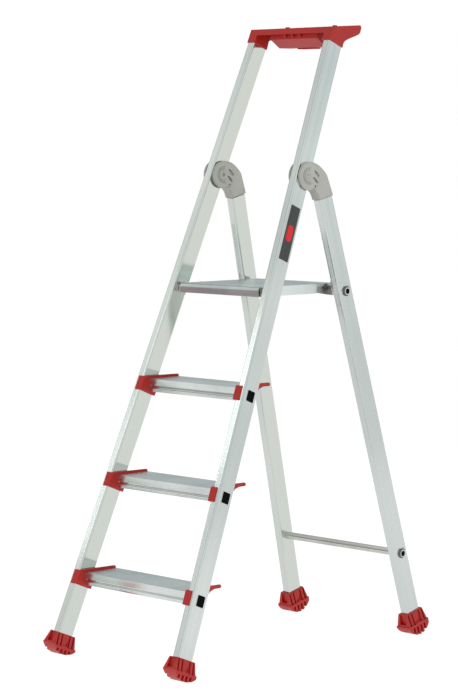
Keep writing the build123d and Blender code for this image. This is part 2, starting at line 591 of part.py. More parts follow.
for name, plane, end, flutes in (("platform_axle", axle_centre, AXLE_END, 0),
                                 ("brace_tube", brace_centre, BRACE_END, FLUTE_COUNT)):
    with BuildPart() as tube:
        with BuildSketch(plane):
            Circle(TUBE_R)
            Circle(TUBE_BORE, mode=Mode.SUBTRACT)
            if flutes:
                with PolarLocations(TUBE_R, flutes):
                    Rectangle(FLUTE, FLUTE, rotation=45, mode=Mode.SUBTRACT)
        extrude(amount=end, both=True)
    tube.part.label = name
    export_step(tube.part, f"parts/{name}.step")

for name, plane, end in (("axle_ferrules", axle_centre, AXLE_END),
                         ("brace_ferrules", brace_centre, BRACE_END)):
    with BuildPart() as ferrules:
        with BuildSketch(plane.offset(end - FERRULE_OUT - FERRULE_BACK)):
            Circle(FERRULE_R)
            Circle(TUBE_R, mode=Mode.SUBTRACT)
        extrude(amount=FERRULE_OUT)
        add(leg_bar.part, mode=Mode.SUBTRACT)
        mirror(about=Plane.YZ)
    ferrules.part.label = name
    export_step(ferrules.part, f"parts/{name}.step")

with BuildPart() as tube_plugs:
    for plane, end in ((axle_centre, AXLE_END), (brace_centre, BRACE_END)):
        with BuildSketch(plane.offset(end - PLUG_LOW - PLUG_DEEP)):
            Circle(TUBE_BORE)
        extrude(amount=PLUG_DEEP)
    mirror(about=Plane.YZ)
tube_plugs.part.label = "tube_plugs"
export_step(tube_plugs.part, "parts/tube_plugs.step")

BUSH_IN, BUSH_OUT = 128.0, 146.0
BOSS_R = 11.0             # bushes and spacers on the axle
LEG_BRACKET_T = 4.0
LEG_BRACKET = [(98, 917), (110, 915), (114, 905), (136, 896), (136, 880), (110, 876), (98, 900)]

with BuildPart() as axle_bracket_right:
    with BuildSketch(WORLD_SIDE):
        with BuildLine():
            Polyline(*LEG_BRACKET, close=True)
        make_face()
        with Locations((AXLE_Y, AXLE_Z)):
            Circle(TUBE_R, mode=Mode.SUBTRACT)
    extrude(amount=FAR)
    split(bisect_by=leg_face(1, LEG_BRACKET_T), keep=Keep.TOP)
    split(bisect_by=leg_face(1, 0), keep=Keep.BOTTOM)
axle_bracket_right.part.label = "axle_bracket_right"
export_step(axle_bracket_right.part, "parts/axle_bracket_right.step")
with BuildPart() as axle_bracket_left:
    mirror(axle_bracket_right.part, about=Plane.YZ)
axle_bracket_left.part.label = "axle_bracket_left"
export_step(axle_bracket_left.part, "parts/axle_bracket_left.step")

with BuildPart() as axle_spacers:
    with BuildSketch(axle_centre.offset(BUSH_OUT + RUN_GAP)):
        Circle(BOSS_R)
        Circle(TUBE_R, mode=Mode.SUBTRACT)
    extrude(amount=FAR)
    split(bisect_by=leg_face(1, LEG_BRACKET_T), keep=Keep.BOTTOM)
    mirror(about=Plane.YZ)
axle_spacers.part.label = "axle_spacers"
export_step(axle_spacers.part, "parts/axle_spacers.step")

# ---------------------------------------------------------------- platform
PLATE_WALL = 2.2
END_T = 2.0               # end plates
NOSE_R = 10.5
PLATFORM_LOW = 886.0
REAR_LOW, REAR_STEP_Y = 903.0, 58.0       # the ends and rear lip clear the axle bushes
FRONT_LIP = 8.0
RIB_T, RIB_H, DECK_RIBS = 2.0, 12.0, (-60.0, 0.0, 60.0)
DECK_PITCH, DECK_GROOVES, DECK_CUT = 8.0, 31, 1.2
MOUNT_Y = (-40.0, 40.0)   # smooth land in the middle of the deck
NOTCH_Y, NOTCH_H = (-134.0, -100.0), 60.0
FLANGE_T, FLANGE_DEEP, FLANGE_Y = 2.5, 8.0, 98.0
BRACKET_X, LUG_R = (131.0, 134.0), 12.5
deck_low = PLATFORM_TOP - PLATE_WALL
flange_low = deck_low - FLANGE_T
nose_y, nose_z = PLATFORM_FRONT + NOSE_R, PLATFORM_TOP - NOSE_R


def nose_arc(radius):
    """Quarter round at the platform's front edge, from its face to its top."""
    bend = radius * sin(radians(45))
    ThreePointArc((nose_y - radius, nose_z), (nose_y - bend, nose_z + bend), (nose_y, nose_z + radius))


RIVET_Y = (-80.0, 70.0)
RIVET_X = PLATFORM_HALF - END_T - 4
RIVET_HEAD = 0.8          # heads: this high, and this much wider than the shank
with BuildPart() as platform_rivets:
    with BuildSketch(Plane.XY.offset(flange_low)):
        with Locations(*[(RIVET_X, HINGE_Y + y) for y in RIVET_Y]):
            Circle(RIVET_R)
    extrude(amount=PLATE_WALL + FLANGE_T + RIVET_HEAD)
    with BuildSketch(Plane.XY.offset(PLATFORM_TOP)):
        with Locations(*[(RIVET_X, HINGE_Y + y) for y in RIVET_Y]):
            Circle(RIVET_R + RIVET_HEAD)
    extrude(amount=RIVET_HEAD)
    mirror(about=Plane.YZ)
platform_rivets.part.label = "platform_rivets"
export_step(platform_rivets.part, "parts/platform_rivets.step")

with BuildPart() as platform_plate:
    with BuildSketch(WORLD_SIDE):
        with BuildLine():
            Line((PLATFORM_FRONT, PLATFORM_LOW), (PLATFORM_FRONT, nose_z))
            nose_arc(NOSE_R)
            Polyline((nose_y, PLATFORM_TOP), (PLATFORM_REAR, PLATFORM_TOP), (PLATFORM_REAR, REAR_LOW),
                     (PLATFORM_REAR - PLATE_WALL, REAR_LOW), (PLATFORM_REAR - PLATE_WALL, deck_low),
                     (nose_y, deck_low))
            nose_arc(NOSE_R - PLATE_WALL)
            Polyline((PLATFORM_FRONT + PLATE_WALL, nose_z),
                     (PLATFORM_FRONT + PLATE_WALL, PLATFORM_LOW + PLATE_WALL),
                     (PLATFORM_FRONT + FRONT_LIP, PLATFORM_LOW + PLATE_WALL),
                     (PLATFORM_FRONT + FRONT_LIP, PLATFORM_LOW), (PLATFORM_FRONT, PLATFORM_LOW))
        make_face()
        with Locations(*[(y, deck_low - RIB_H / 2) for y in DECK_RIBS]):
            Rectangle(RIB_T, RIB_H)
        grooves = [nose_y + DECK_PITCH * (n + 1) for n in range(DECK_GROOVES)]
        with Locations(*[(y, PLATFORM_TOP) for y in grooves if not MOUNT_Y[0] < y < MOUNT_Y[1]]):
            Rectangle(DECK_CUT, DECK_CUT, rotation=45, mode=Mode.SUBTRACT)
    extrude(amount=PLATFORM_HALF - END_T, both=True)
    add(platform_rivets.part, mode=Mode.SUBTRACT)
platform_plate.part.label = "platform_plate"
export_step(platform_plate.part, "parts/platform_plate.step")

with BuildPart() as platform_end_right:
    with BuildSketch(WORLD_SIDE.offset(PLATFORM_HALF - END_T)):
        with BuildLine():
            Line((PLATFORM_FRONT, PLATFORM_LOW), (PLATFORM_FRONT, nose_z))
            nose_arc(NOSE_R)
            Polyline((nose_y, PLATFORM_TOP), (PLATFORM_REAR, PLATFORM_TOP), (PLATFORM_REAR, REAR_LOW),
                     (REAR_STEP_Y + 3, REAR_LOW), (REAR_STEP_Y, PLATFORM_LOW), (PLATFORM_FRONT, PLATFORM_LOW))
        make_face()
        with Locations(((NOTCH_Y[0] + NOTCH_Y[1]) / 2, deck_low - NOTCH_H / 2)):
            Rectangle(NOTCH_Y[1] - NOTCH_Y[0], NOTCH_H, mode=Mode.SUBTRACT)
    extrude(amount=END_T)
    with BuildSketch(WORLD_SIDE.offset(PLATFORM_HALF - END_T - FLANGE_DEEP)):
        with Locations((0, deck_low - FLANGE_T / 2)):
            Rectangle(2 * FLANGE_Y, FLANGE_T)
        with Locations(*[(y, flange_low) for y in DECK_RIBS]):
            Rectangle(RIB_T, 2 * FLANGE_T, mode=Mode.SUBTRACT)
    extrude(amount=FLANGE_DEEP)
    add(platform_rivets.part, mode=Mode.SUBTRACT)

# Steel bracket under each flange, with the lug that carries the axle bush.
with BuildPart() as platform_bracket_right:
    with BuildSketch(WORLD_SIDE.offset(BRACKET_X[0])):
        with BuildLine():
            Polyline((REAR_STEP_Y + 4, flange_low), (FLANGE_Y, flange_low), (FLANGE_Y, AXLE_Z + LUG_R - 0.5),
                     (AXLE_Y, AXLE_Z + LUG_R), (AXLE_Y, AXLE_Z - LUG_R), (100, 881.5),
                     (REAR_STEP_Y + 4, PLATFORM_LOW + 1.5), close=True)
        make_face()
        with Locations((AXLE_Y, AXLE_Z)):
            Circle(LUG_R)
            Circle(BOSS_R, mode=Mode.SUBTRACT)
    extrude(amount=BRACKET_X[1] - BRACKET_X[0])

for name, right in (("platform_end", platform_end_right), ("platform_bracket", platform_bracket_right)):
    right.part.label = f"{name}_right"
    export_step(right.part, f"parts/{name}_right.step")
    with BuildPart() as left:
        mirror(right.part, about=Plane.YZ)
    left.part.label = f"{name}_left"
    export_step(left.part, f"parts/{name}_left.step")

with BuildPart() as platform_bushes:
    with BuildSketch(axle_centre.offset(BUSH_IN)):
        Circle(BOSS_R)
        Circle(TUBE_R + PIN_PLAY, mode=Mode.SUBTRACT)
    extrude(amount=BUSH_OUT - BUSH_IN)
    mirror(about=Plane.YZ)
platform_bushes.part.label = "platform_bushes"
export_step(platform_bushes.part, "parts/platform_bushes.step")

# ---------------------------------------------------------------- platform rests
REST_FASCIA = [(140.7, 887), (165, 887), (165, 906), (140.7, 903)]
REST_Y = (-143.0, -118.0)
REST_ROUND = 4.0
REST_SLOT = (147.5, 895.5, 2.6, 12.0)     # x, z, width, height
REST_SLOT_DEEP = 6.0
REST_LAP, REST_REACH = 1.0, 2.0
ARM_X, ARM_Y, ARM_Z = (124.0, 142.0), (-130.0, -118.0), (899.5, 906.9)
REST_PLATE_T = 2.5
REST_PLATE = (25.0, 978.0, 38.0, 26.0)    # behind, along, width, height
REST_RIVETS = ((33.0, 974.0), (33.0, 984.0))

with BuildPart() as rest_rivets:
    with BuildSketch(stile_face(1, REST_PLATE_T + RIVET_HEAD)):
        with Locations(*REST_RIVETS):
            Circle(RIVET_R)
    extrude(amount=REST_PLATE_T + RIVET_HEAD)
    mirror(about=Plane.YZ)
rest_rivets.part.label = "rest_rivets"
export_step(rest_rivets.part, "parts/rest_rivets.step")

with BuildPart() as platform_rest_right:
    with BuildSketch(Plane(origin=(0, HINGE_Y + REST_Y[1], 0), x_dir=(1, 0, 0), z_dir=(0, -1, 0))):
        with BuildLine():
            Polyline(*REST_FASCIA, close=True)
        make_face()
    extrude(amount=REST_Y[1] - REST_Y[0])
    fillet(platform_rest_right.edges().filter_by(Axis.Z).group_by(Axis.Y)[0].sort_by(Axis.X)[:1], REST_ROUND)
    with BuildSketch(Plane(origin=(0, HINGE_Y + REST_Y[0], 0), x_dir=(1, 0, 0), z_dir=(0, -1, 0))):
        with Locations(REST_SLOT[:2]):
            SlotOverall(REST_SLOT[3], REST_SLOT[2], rotation=90)
    extrude(amount=-REST_SLOT_DEEP, mode=Mode.SUBTRACT)
    with BuildSketch(Plane.XY.offset(ARM_Z[0])):
        with Locations(((ARM_X[0] + ARM_X[1]) / 2, HINGE_Y + (ARM_Y[0] + ARM_Y[1]) / 2)):
            RectangleRounded(ARM_X[1] - ARM_X[0], ARM_Y[1] - ARM_Y[0], 3)
    extrude(amount=ARM_Z[1] - ARM_Z[0])
    with BuildSketch(stile_face(1, REST_PLATE_T)):
        with Locations(REST_PLATE[:2]):
            RectangleRounded(REST_PLATE[2], REST_PLATE[3], 4)
    extrude(amount=REST_PLATE_T + REST_LAP)
    add(stile_bar.part, mode=Mode.SUBTRACT)
    add(rest_rivets.part, mode=Mode.SUBTRACT)
    split(bisect_by=stile_face(1, -REST_REACH), keep=Keep.BOTTOM)
platform_rest_right.part.label = "platform_rest_right"
export_step(platform_rest_right.part, "parts/platform_rest_right.step")
with BuildPart() as platform_rest_left:
    mirror(platform_rest_right.part, about=Plane.YZ)
platform_rest_left.part.label = "platform_rest_left"
export_step(platform_rest_left.part, "parts/platform_rest_left.step")

# ---------------------------------------------------------------- tool tray
TRAY_HALF, TRAY_WALL = 145.0, 3.0
SOCKET_IN = 118.0         # inner side of the sockets over the stile tops
SOCKET_LOW, SOCKET_T = 1636.0, 1.5
APRON_LOW = 1533.0
TRAY_FRONT, TRAY_REAR = (111.0, 1548.0), (209.0, 1553.5)
TRAY_HEEL = [(212.7, 1547.5), (208.3, 1535.0), (202.5, 1530.0)]
WING = [(180.0, 1522.5), (156.5, 1514.4), (146.5, 1505.0)]
BIN_HALF = 82.0
BIN_OUTER = [(118, 1547), (118, 1521), (150, 1500), (190, 1500), (197, 1550)]
BIN_INNER = [(121, 1570), (121, 1522.6), (151, 1503), (187.5, 1503), (194.5, 1570)]
GUSSET = [(108, 1535), (119, 1535), (119, 1521)]
GUSSET_X = (-25.5, 0.0, 25.5)
FINGER_PAD = (60.0, 27.0, 3.2)            # ribbed pad under the bin
NIB_AT, NIB_TOP = (83.0, 181.0), 1554.6
SCREW_AT = (132.0, 1643.0)
SCREW_R, SCREW_HEAD_R, SCREW_HEAD_H = 2.0, 4.2, 1.6
CROSS_L, CROSS_W, CROSS_DEEP = 4.6, 1.0, 0.6
BIN_LOW, GUSSET_T = 1500.0, 4.0
PAD_Y, PAD_GROOVE, PAD_PITCH, PAD_GROOVES = 174.0, 3.5, 9.0, 5
NIB_R, NIB_FROM, NIB_ROUND = 6.0, 1550.0, 1.5
APRON_Y, APRON_CUT = 100.0, (60.0, 80.0)
HOLLOW_HEEL = [(209, 1546.5), (205, 1536.5), (199, 1532.5), (199, 1470)]
HOLLOW_LOW, HOLLOW_HIGH = 1590.0, 1667.0  # along the stile
HOLLOW_BACK, HOLLOW_RISE = 85.0, 3.5


def stile_point(along, behind):
    """A front-stile place as (y, z) from the hinge and the ground."""
    return (FRONT_Y0 - HINGE_Y + along * SIN_F + behind * COS_F,
            along * COS_F - behind * SIN_F)


socket_back = Plane(
    origin=(0, HINGE_Y + stile_point(0, STILE_D + SOCKET_T)[0], stile_point(0, STILE_D + SOCKET_T)[1]),
    x_dir=(-1, 0, 0), z_dir=(0, COS_F, -SIN_F))
with BuildPart() as tray_screws:
    with BuildSketch(socket_back):
        with Locations((-SCREW_AT[0], SCREW_AT[1]), SCREW_AT):
            Circle(SCREW_HEAD_R)
    extrude(amount=SCREW_HEAD_H)
    with BuildSketch(socket_back):
        with Locations((-SCREW_AT[0], SCREW_AT[1]), SCREW_AT):
            Circle(SCREW_R)
    extrude(amount=-SOCKET_T)
    with BuildSketch(socket_back.offset(SCREW_HEAD_H - CROSS_DEEP)):
        with Locations((-SCREW_AT[0], SCREW_AT[1]), SCREW_AT):
            Rectangle(CROSS_L, CROSS_W)
            Rectangle(CROSS_W, CROSS_L)
    extrude(amount=CROSS_DEEP, mode=Mode.SUBTRACT)
tray_screws.part.label = "tray_screws"
export_step(tray_screws.part, "parts/tray_screws.step")

with BuildPart() as tool_tray:
    with BuildSketch(WORLD_SIDE):
        with BuildLine():
            Polyline(stile_point(SOCKET_LOW, -SOCKET_T), TRAY_FRONT, TRAY_REAR, *TRAY_HEEL)
            Spline(TRAY_HEEL[-1], *WING, tangents=((-1, -0.35), (-0.3, -1)))
            Polyline(WING[-1], stile_point(SOCKET_LOW, STILE_D + SOCKET_T),
                     stile_point(SOCKET_LOW, -SOCKET_T))
        make_face()
    extrude(amount=TRAY_HALF, both=True)
    # Hollow underneath, all the way between the sockets and only behind them at the sides.
    deck_front = (TRAY_FRONT[0], TRAY_FRONT[1] - TRAY_WALL)
    deck_rear = (TRAY_REAR[0] - TRAY_WALL, TRAY_REAR[1] - TRAY_WALL)
    apron_low = stile_point(HOLLOW_LOW, TRAY_WALL - SOCKET_T)
    apron_high = stile_point(HOLLOW_HIGH, TRAY_WALL - SOCKET_T)
    socket_low = stile_point(HOLLOW_LOW, STILE_D + SOCKET_T)
    socket_high = (socket_low[0] + HOLLOW_BACK * SIN_F, deck_front[1] + HOLLOW_RISE)
    for start, half in ((apron_low, SOCKET_IN), (socket_low, TRAY_HALF - TRAY_WALL)):
        with BuildSketch(WORLD_SIDE):
            with BuildLine():
                upper = apron_high if start is apron_low else socket_high
                Polyline(start, upper, deck_rear, *HOLLOW_HEEL, start)
            make_face()
        extrude(amount=half, both=True, mode=Mode.SUBTRACT)
    with BuildSketch(WORLD_SIDE):
        with Locations((APRON_Y, APRON_LOW - APRON_CUT[1] / 2)):
            Rectangle(*APRON_CUT)
    extrude(amount=SOCKET_IN, both=True, mode=Mode.SUBTRACT)
    # Bin, gussets, finger pad and nibs.
    with BuildSketch(WORLD_SIDE):
        with BuildLine():
            Polyline(*BIN_OUTER, close=True)
        make_face()
    extrude(amount=BIN_HALF, both=True)
    for x in GUSSET_X:
        with BuildSketch(WORLD_SIDE.offset(x - GUSSET_T / 2)):
            with BuildLine():
                Polyline(*GUSSET, close=True)
            make_face()
        extrude(amount=GUSSET_T)
    with BuildSketch(Plane.XY.offset(BIN_LOW - FINGER_PAD[2])):
        with Locations((0, HINGE_Y + PAD_Y)):
            RectangleRounded(FINGER_PAD[0], FINGER_PAD[1], 4)
            with GridLocations(PAD_PITCH, 1, PAD_GROOVES, 1):
                Rectangle(PAD_GROOVE, FINGER_PAD[1], mode=Mode.SUBTRACT)
    extrude(amount=FINGER_PAD[2])
    with BuildSketch(Plane.XY.offset(NIB_FROM)):
        with Locations((NIB_AT[0], HINGE_Y + NIB_AT[1]), (-NIB_AT[0], HINGE_Y + NIB_AT[1])):
            Circle(NIB_R)
    extrude(amount=NIB_TOP - NIB_FROM)
    fillet(tool_tray.edges().group_by(Axis.Z)[-1], NIB_ROUND)
    with BuildSketch(WORLD_SIDE):
        with BuildLine():
            Polyline(*BIN_INNER, close=True)
        make_face()
    extrude(amount=BIN_HALF - TRAY_WALL, both=True, mode=Mode.SUBTRACT)
    add(stile_bar.part, mode=Mode.SUBTRACT)
    mirror(stile_bar.part, about=Plane.YZ, mode=Mode.SUBTRACT)
    add(tray_screws.part, mode=Mode.SUBTRACT)
tool_tray.part.label = "tool_tray"
export_step(tool_tray.part, "parts/tool_tray.step")
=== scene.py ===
"""Looks of the step ladder: softened plastics, drawn aluminium, studio light and the camera.

Everything is in metres, in the part's own frame: +X to the right of a person climbing,
+Y from the climbing side to the back, +Z up, with the ground at z = 0.
"""
import json
import math

import bmesh
import bpy
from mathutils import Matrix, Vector


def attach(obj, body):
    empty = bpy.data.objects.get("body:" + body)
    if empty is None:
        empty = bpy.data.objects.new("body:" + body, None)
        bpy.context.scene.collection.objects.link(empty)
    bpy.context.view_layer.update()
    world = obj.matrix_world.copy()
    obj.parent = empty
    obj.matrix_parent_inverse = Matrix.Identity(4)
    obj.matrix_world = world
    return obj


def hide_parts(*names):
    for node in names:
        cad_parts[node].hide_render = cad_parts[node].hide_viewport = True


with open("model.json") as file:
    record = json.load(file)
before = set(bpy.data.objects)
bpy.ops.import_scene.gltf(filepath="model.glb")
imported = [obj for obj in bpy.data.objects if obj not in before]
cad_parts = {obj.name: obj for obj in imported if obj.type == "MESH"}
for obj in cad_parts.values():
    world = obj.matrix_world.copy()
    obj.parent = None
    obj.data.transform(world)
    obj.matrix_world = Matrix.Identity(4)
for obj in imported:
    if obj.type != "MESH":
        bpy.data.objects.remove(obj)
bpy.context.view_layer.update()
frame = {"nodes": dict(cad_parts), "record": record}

FRONT_LEAN = math.radians(22.2)      # stiles, from upright
REAR_LEAN = math.radians(14.2)
BUSH_SPLIT_X, SPLIT_WIDTH = 0.1490, 0.0002   # inside the stile, between a hinge bush's washers

# ---------------------------------------------------------------- camera
AZIMUTH, ELEVATION = 45.694, 4.811
DISTANCE = 6.2556
AIM = Vector((-0.0188, -0.0225, 0.7503))
LENS, SENSOR, CLIP_END = 129.73, 36.0, 60


def add_camera():
    a, e = math.radians(AZIMUTH), math.radians(ELEVATION)
    back = Vector((math.sin(a) * math.cos(e), -math.cos(a) * math.cos(e), math.sin(e)))
    data = bpy.data.cameras.new("camera")
    data.lens, data.sensor_width = LENS, SENSOR
    data.clip_end = CLIP_END
    camera = bpy.data.objects.new("camera", data)
    camera.location = AIM + back * DISTANCE
    camera.rotation_mode = "QUATERNION"
    camera.rotation_quaternion = (-back).to_track_quat("-Z", "Y")
    bpy.context.scene.collection.objects.link(camera)
    bpy.context.scene.camera = camera


# ---------------------------------------------------------------- node helpers
def colour_mix(nodes, links, share, a, b):
    """A mix of two colours; share, a and b are each a value or another node's output."""
    made = nodes.new("ShaderNodeMix")
    made.data_type = "RGBA"
    for key, value in (("Factor", share), ("A", a), ("B", b)):
        socket = next(s for s in made.inputs if s.name == key and s.enabled)
        if isinstance(value, bpy.types.NodeSocket):
            links.new(value, socket)
        else:
            socket.default_value = value
    return next(s for s in made.outputs if s.enabled)


class Shader:
    """A material's node tree, with short ways to add and join nodes."""

    def __init__(self, name):
        self.material = bpy.data.materials.new(name)
        self.material.use_nodes = True
        self.nodes = self.material.node_tree.nodes
        self.links = self.material.node_tree.links
        self.surface = self.nodes["Principled BSDF"]

    def node(self, kind, values=None, **settings):
        made = self.nodes.new(kind)
        for key, value in settings.items():
            setattr(made, key, value)
        for key, value in (values or {}).items():
            if isinstance(value, bpy.types.NodeSocket):
                self.links.new(value, made.inputs[key])
            else:
                made.inputs[key].default_value = value
        return made

    def set(self, **values):
        for key, value in values.items():
            socket = self.surface.inputs[key.replace("_", " ")]
            if isinstance(value, bpy.types.NodeSocket):
                self.links.new(value, socket)
            else:
                socket.default_value = value

    def place(self, lean=0.0, scale=(1, 1, 1)):
        """Object coordinates turned about X by lean, so that Z runs along a leaning tube."""
        where = self.node("ShaderNodeTexCoord").outputs["Object"]
        turned = self.node("ShaderNodeMapping", {"Vector": where, "Rotation": (lean, 0, 0)})
        return self.node("ShaderNodeMapping", {"Vector": turned.outputs[0], "Scale": scale}).outputs[0]

    def noise(self, vector, scale, detail=2.0, roughness=0.5):
        made = self.node("ShaderNodeTexNoise", {
            "Vector": vector, "Scale": scale, "Detail": detail, "Roughness": roughness})
        return made.outputs["Fac"]

    def spread(self, value, low, high, start=0.35, end=0.65):
        """value from start..end to low..high."""
        made = self.node("ShaderNodeMapRange", {
            "Value": value, "From Min": start, "From Max": end, "To Min": low, "To Max": high})
        return made.outputs[0]

    def mix(self, share, a, b):
        return colour_mix(self.nodes, self.links, share, a, b)

    def bump(self, height, strength, distance, normal=None):
        values = {"Height": height, "Strength": strength, "Distance": distance}
        if normal is not None:
            values["Normal"] = normal
        return self.node("ShaderNodeBump", values).outputs[0]


def rgb(red, green, blue):
    """A colour given as it looks on a screen, 0 to 255."""
    return tuple(
        c / 12.92 if c <= 0.04045 else ((c + 0.055) / 1.055) ** 2.4
        for c in (red / 255, green / 255, blue / 255)) + (1.0,)


# ---------------------------------------------------------------- materials
# Noise per metre: the die's lines across and along a drawn tube, cloudy tone, and a slow change up a
# stile that is partly random tone and partly painted reflection.
LINES_ACROSS, LINES_ALONG = 400, 1.5
DIE_LINES = {
    "x": (LINES_ALONG, LINES_ACROSS, LINES_ACROSS),
    "z": (LINES_ACROSS, LINES_ACROSS, LINES_ALONG)}
CLOUDS, SLOW_TONE_AND_REFLECTION = (9, 9, 3), (1, 1, 3)
INNER_START, INNER_FULL = -0.05, -0.11    # X times the normal's X: below 0 on faces turned to the middle
GRAIN, GRAIN_STRENGTH, GRAIN_DEPTH = 1400.0, 0.25, 0.00012    # moulded plastic; the depth in metres
FILM_GRAIN, PLASTIC_CLOUDS = 600.0, 14.0


def drawn_aluminium(name, dark, light, along="z", roughness=0.32):
    """Extruded aluminium: faint die lines along the length and cloudy tone."""
    shader = Shader(name)
    lines = shader.noise(shader.place(scale=DIE_LINES[along]), 1.0, 3.0, 0.6)
    clouds = shader.noise(shader.place(scale=CLOUDS), 1.0, 3.0)
    tone = shader.mix(shader.spread(clouds, 0, 1), dark, light)
    shader.set(
        Base_Color=tone, Metallic=1.0,
        Roughness=shader.spread(lines, roughness - 0.05, roughness + 0.07),
        Normal=shader.bump(lines, 0.12, 0.0002))
    return shader.material


def ribbed_aluminium(name, lean):
    """A stile or leg: smooth and bright on its inner face, duller on the ribbed ones, whose colour goes
    slowly lighter and darker up the length as painted reflection mixed with uneven tone.
    """
    shader = Shader(name)
    where = shader.node("ShaderNodeTexCoord")
    x = shader.node("ShaderNodeSeparateXYZ", {"Vector": where.outputs["Object"]}).outputs["X"]
    facing = shader.node("ShaderNodeSeparateXYZ", {"Vector": where.outputs["Normal"]}).outputs["X"]
    outward = shader.node("ShaderNodeMath", {0: x, 1: facing}, operation="MULTIPLY").outputs[0]
    inner = shader.spread(outward, 0.0, 1.0, INNER_START, INNER_FULL)
    # painted reflection: this slow noise makes the ribbed faces' colour lighter and darker up the stile,
    # standing in for uneven reflections as well as uneven tone
    slow = shader.noise(shader.place(lean, SLOW_TONE_AND_REFLECTION), 1.0, 1.0)
    lines = shader.noise(shader.place(lean, DIE_LINES["z"]), 1.0, 3.0, 0.6)
    ribbed = shader.mix(shader.spread(slow, 0, 1), rgb(198, 205, 203), rgb(216, 221, 218))
    shader.set(
        Base_Color=shader.mix(inner, ribbed, rgb(208, 213, 207)), Metallic=1.0,
        Roughness=shader.spread(inner, 0.2, 0.08, 0.0, 1.0),
        Normal=shader.bump(lines, 0.03, 0.0001))
    return shader.material


def moulded_plastic(name, dark, light, roughness, grain=GRAIN, sheen=0.5, edge=0.0):
    """Injection-moulded plastic: eroded grain, slow tone change, satin sheen, corners eased by edge."""
    shader = Shader(name)
    where = shader.place()
    fine = shader.noise(where, grain, 2.0, 0.6)
    slow = shader.noise(where, PLASTIC_CLOUDS, 3.0)
    rounded = shader.node("ShaderNodeBevel", {"Radius": edge}).outputs[0] if edge else None
    shader.set(
        Base_Color=shader.mix(shader.spread(slow, 0, 1), dark, light),
        Roughness=shader.spread(fine, roughness - 0.06, roughness + 0.08), Specular_IOR_Level=sheen,
        Normal=shader.bump(fine, GRAIN_STRENGTH, GRAIN_DEPTH, rounded))
    return shader.material


def bush_plastic(name, outer, inner):
    """Black on the outer side of the stile, which also paints shade into the gap between hinge cheek and
    stile; light grey for the washer on the inner side.
    """
    shader = Shader(name)
    where = shader.place()
    x = shader.node("ShaderNodeSeparateXYZ", {"Vector": where}).outputs["X"]
    far = shader.node("ShaderNodeMath", {0: x}, operation="ABSOLUTE").outputs[0]
    inside = shader.spread(far, 1.0, 0.0, BUSH_SPLIT_X, BUSH_SPLIT_X + SPLIT_WIDTH)
    fine = shader.noise(where, GRAIN, 2.0, 0.6)
    shader.set(
        # the black outer colour is painted shade for the dark gap beside the hinge cheek
        Base_Color=shader.mix(inside, outer, inner), Roughness=shader.spread(fine, 0.42, 0.56),
        Specular_IOR_Level=shader.spread(inside, 0.06, 0.5, 0.0, 1.0),
        Normal=shader.bump(fine, GRAIN_STRENGTH, GRAIN_DEPTH))
    return shader.material


MATERIALS = {
    "stile": ribbed_aluminium("stile_aluminium", FRONT_LEAN),
    "leg": ribbed_aluminium("leg_aluminium", -REAR_LEAN),
    "tread": drawn_aluminium("tread_aluminium", rgb(206, 213, 211), rgb(222, 227, 224), "x", 0.22),
    "tube": drawn_aluminium("tube_aluminium", rgb(205, 205, 200), rgb(220, 220, 215), "x", 0.2),
    "red": moulded_plastic("red_plastic", rgb(172, 18, 8), rgb(180, 22, 12), 0.42),
    "grey": moulded_plastic("grey_plastic", rgb(175, 175, 168), rgb(184, 184, 176), 0.4, edge=0.005),
    "black": moulded_plastic("black_plastic", rgb(3, 3, 4), rgb(8, 8, 9), 0.6, sheen=0.06),
    # the black of the bush doubles as painted shade in the gap between hinge cheek and stile
    "bush": bush_plastic("bush_plastic", rgb(5, 5, 6), rgb(172, 172, 164)),
    "ferrule": moulded_plastic("ferrule_plastic", rgb(96, 98, 98), rgb(108, 110, 110), 0.4),
    "label": moulded_plastic("label_film", rgb(50, 52, 50), rgb(57, 59, 57), 0.35, FILM_GRAIN),
    "badge": moulded_plastic("badge_film", rgb(216, 6, 16), rgb(228, 10, 22), 0.3, FILM_GRAIN),
    "rivet": drawn_aluminium("rivet_metal", rgb(180, 180, 178), rgb(198, 198, 194), roughness=0.28),
}
FINISH = {
    "ribbed_tube": "stile", "tread_aluminium": "tread", "bright_tube": "tube", "red_plastic": "red",
    "grey_plastic": "grey", "black_plastic": "black", "label_grey": "label", "badge_red": "badge",
    "rivet_metal": "rivet"}
node_slot = {part["node"]: part["material_slot"] for part in frame["record"]["subparts"]}
node_body = {
    node: body for body, nodes in frame["record"]["behaviour"]["bodies"].items() for node in nodes}


def finish_of(node):
    if node.endswith("_ferrules"):
        return MATERIALS["ferrule"]
    if node.startswith("hinge_bush"):
        return MATERIALS["bush"]
    if node.startswith("rear_leg"):
        return MATERIALS["leg"]
    return MATERIALS[FINISH[node_slot[node]]]


for node, obj in frame["nodes"].items():
    obj.data.materials.clear()
    obj.data.materials.append(finish_of(node))


# ---------------------------------------------------------------- softened plastics
MERGE_WITHIN, FLAT_ANGLE, SHARP_ANGLE, SEGMENTS = 2e-5, 1.0, 30.0, 2      # metres, degrees


